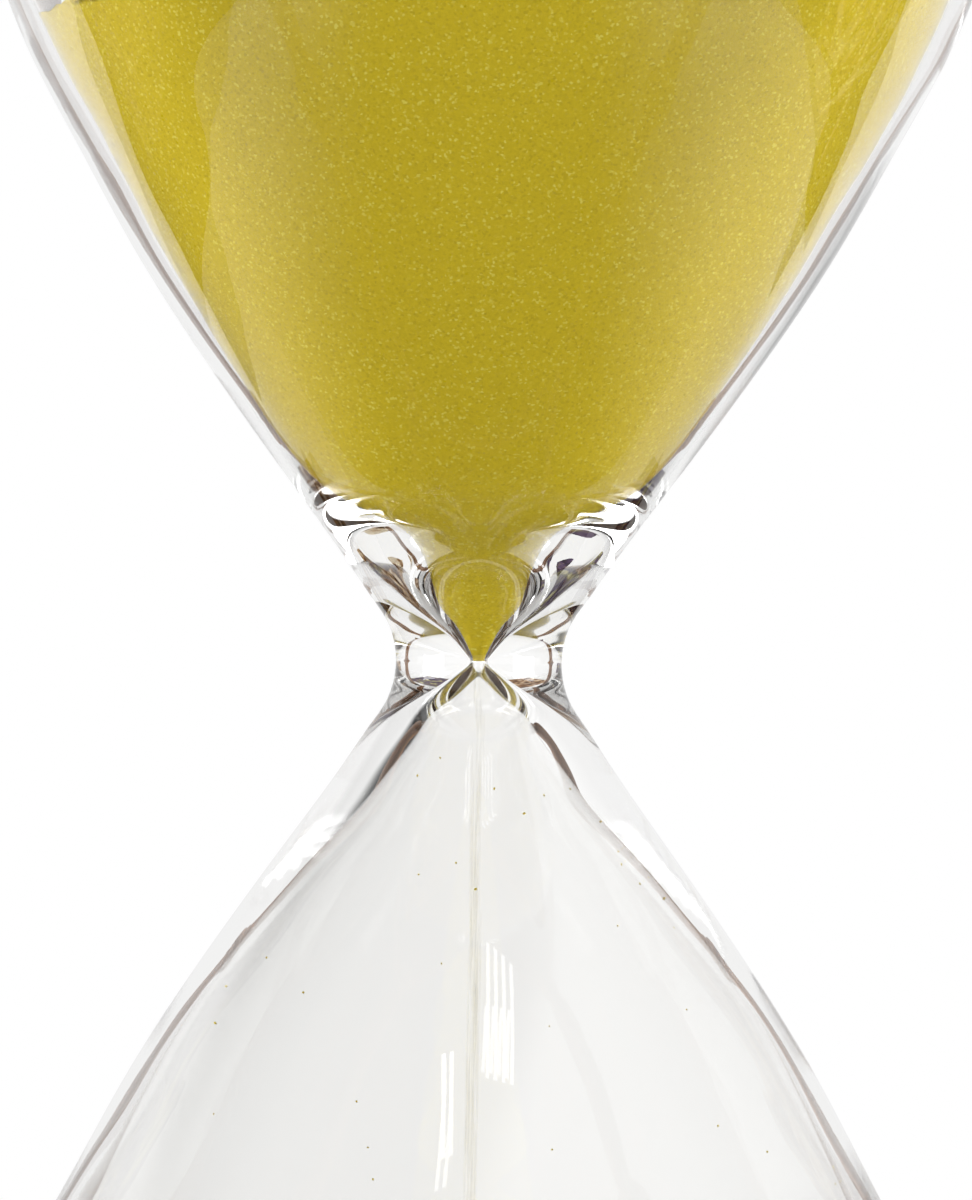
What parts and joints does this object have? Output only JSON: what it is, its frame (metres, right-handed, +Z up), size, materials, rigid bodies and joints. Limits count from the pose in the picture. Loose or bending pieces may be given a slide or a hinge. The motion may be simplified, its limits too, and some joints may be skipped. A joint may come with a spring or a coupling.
{
  "type": "hourglass",
  "caption": "Sand hourglass: a two-bulbed blown glass with sand running down, held between two square moulded plates by turned corner posts.",
  "frame": {"origin": "middle of the felt disc that the hourglass stands on", "axes": "+Z up through the neck of the glass; X and Y along the sides of the square plates, with the sand's surface higher towards +X"},
  "size_m": [0.108, 0.108, 0.1943],
  "materials": {
    "glass": "clear blown glass",
    "sand": "fine dyed quartz sand, mustard yellow",
    "wood": "oiled walnut, satin",
    "brass": "turned, lightly tarnished",
    "felt": "dark green wool felt",
    "washer_felt": "undyed wool felt",
    "cork": "natural cork"
  },
  "bodies": {
    "root": {"glass_bulbs": "glass", "fill_stopper": "cork", "sand_upper": "sand", "sand_stream": "sand", "sand_pile": "sand", "plate_upper": "wood", "plate_lower": "wood", "seat_washer_upper": "washer_felt", "seat_washer_lower": "washer_felt", "felt_disc_upper": "felt", "felt_disc_lower": "felt", "post_front_left": "wood", "post_front_right": "wood", "post_back_right": "wood", "post_back_left": "wood", "screw_upper_front_left": "brass", "screw_upper_front_right": "brass", "screw_upper_back_right": "brass", "screw_upper_back_left": "brass", "screw_lower_front_left": "brass", "screw_lower_front_right": "brass", "screw_lower_back_right": "brass", "screw_lower_back_left": "brass"}
  },
  "joints": []
}
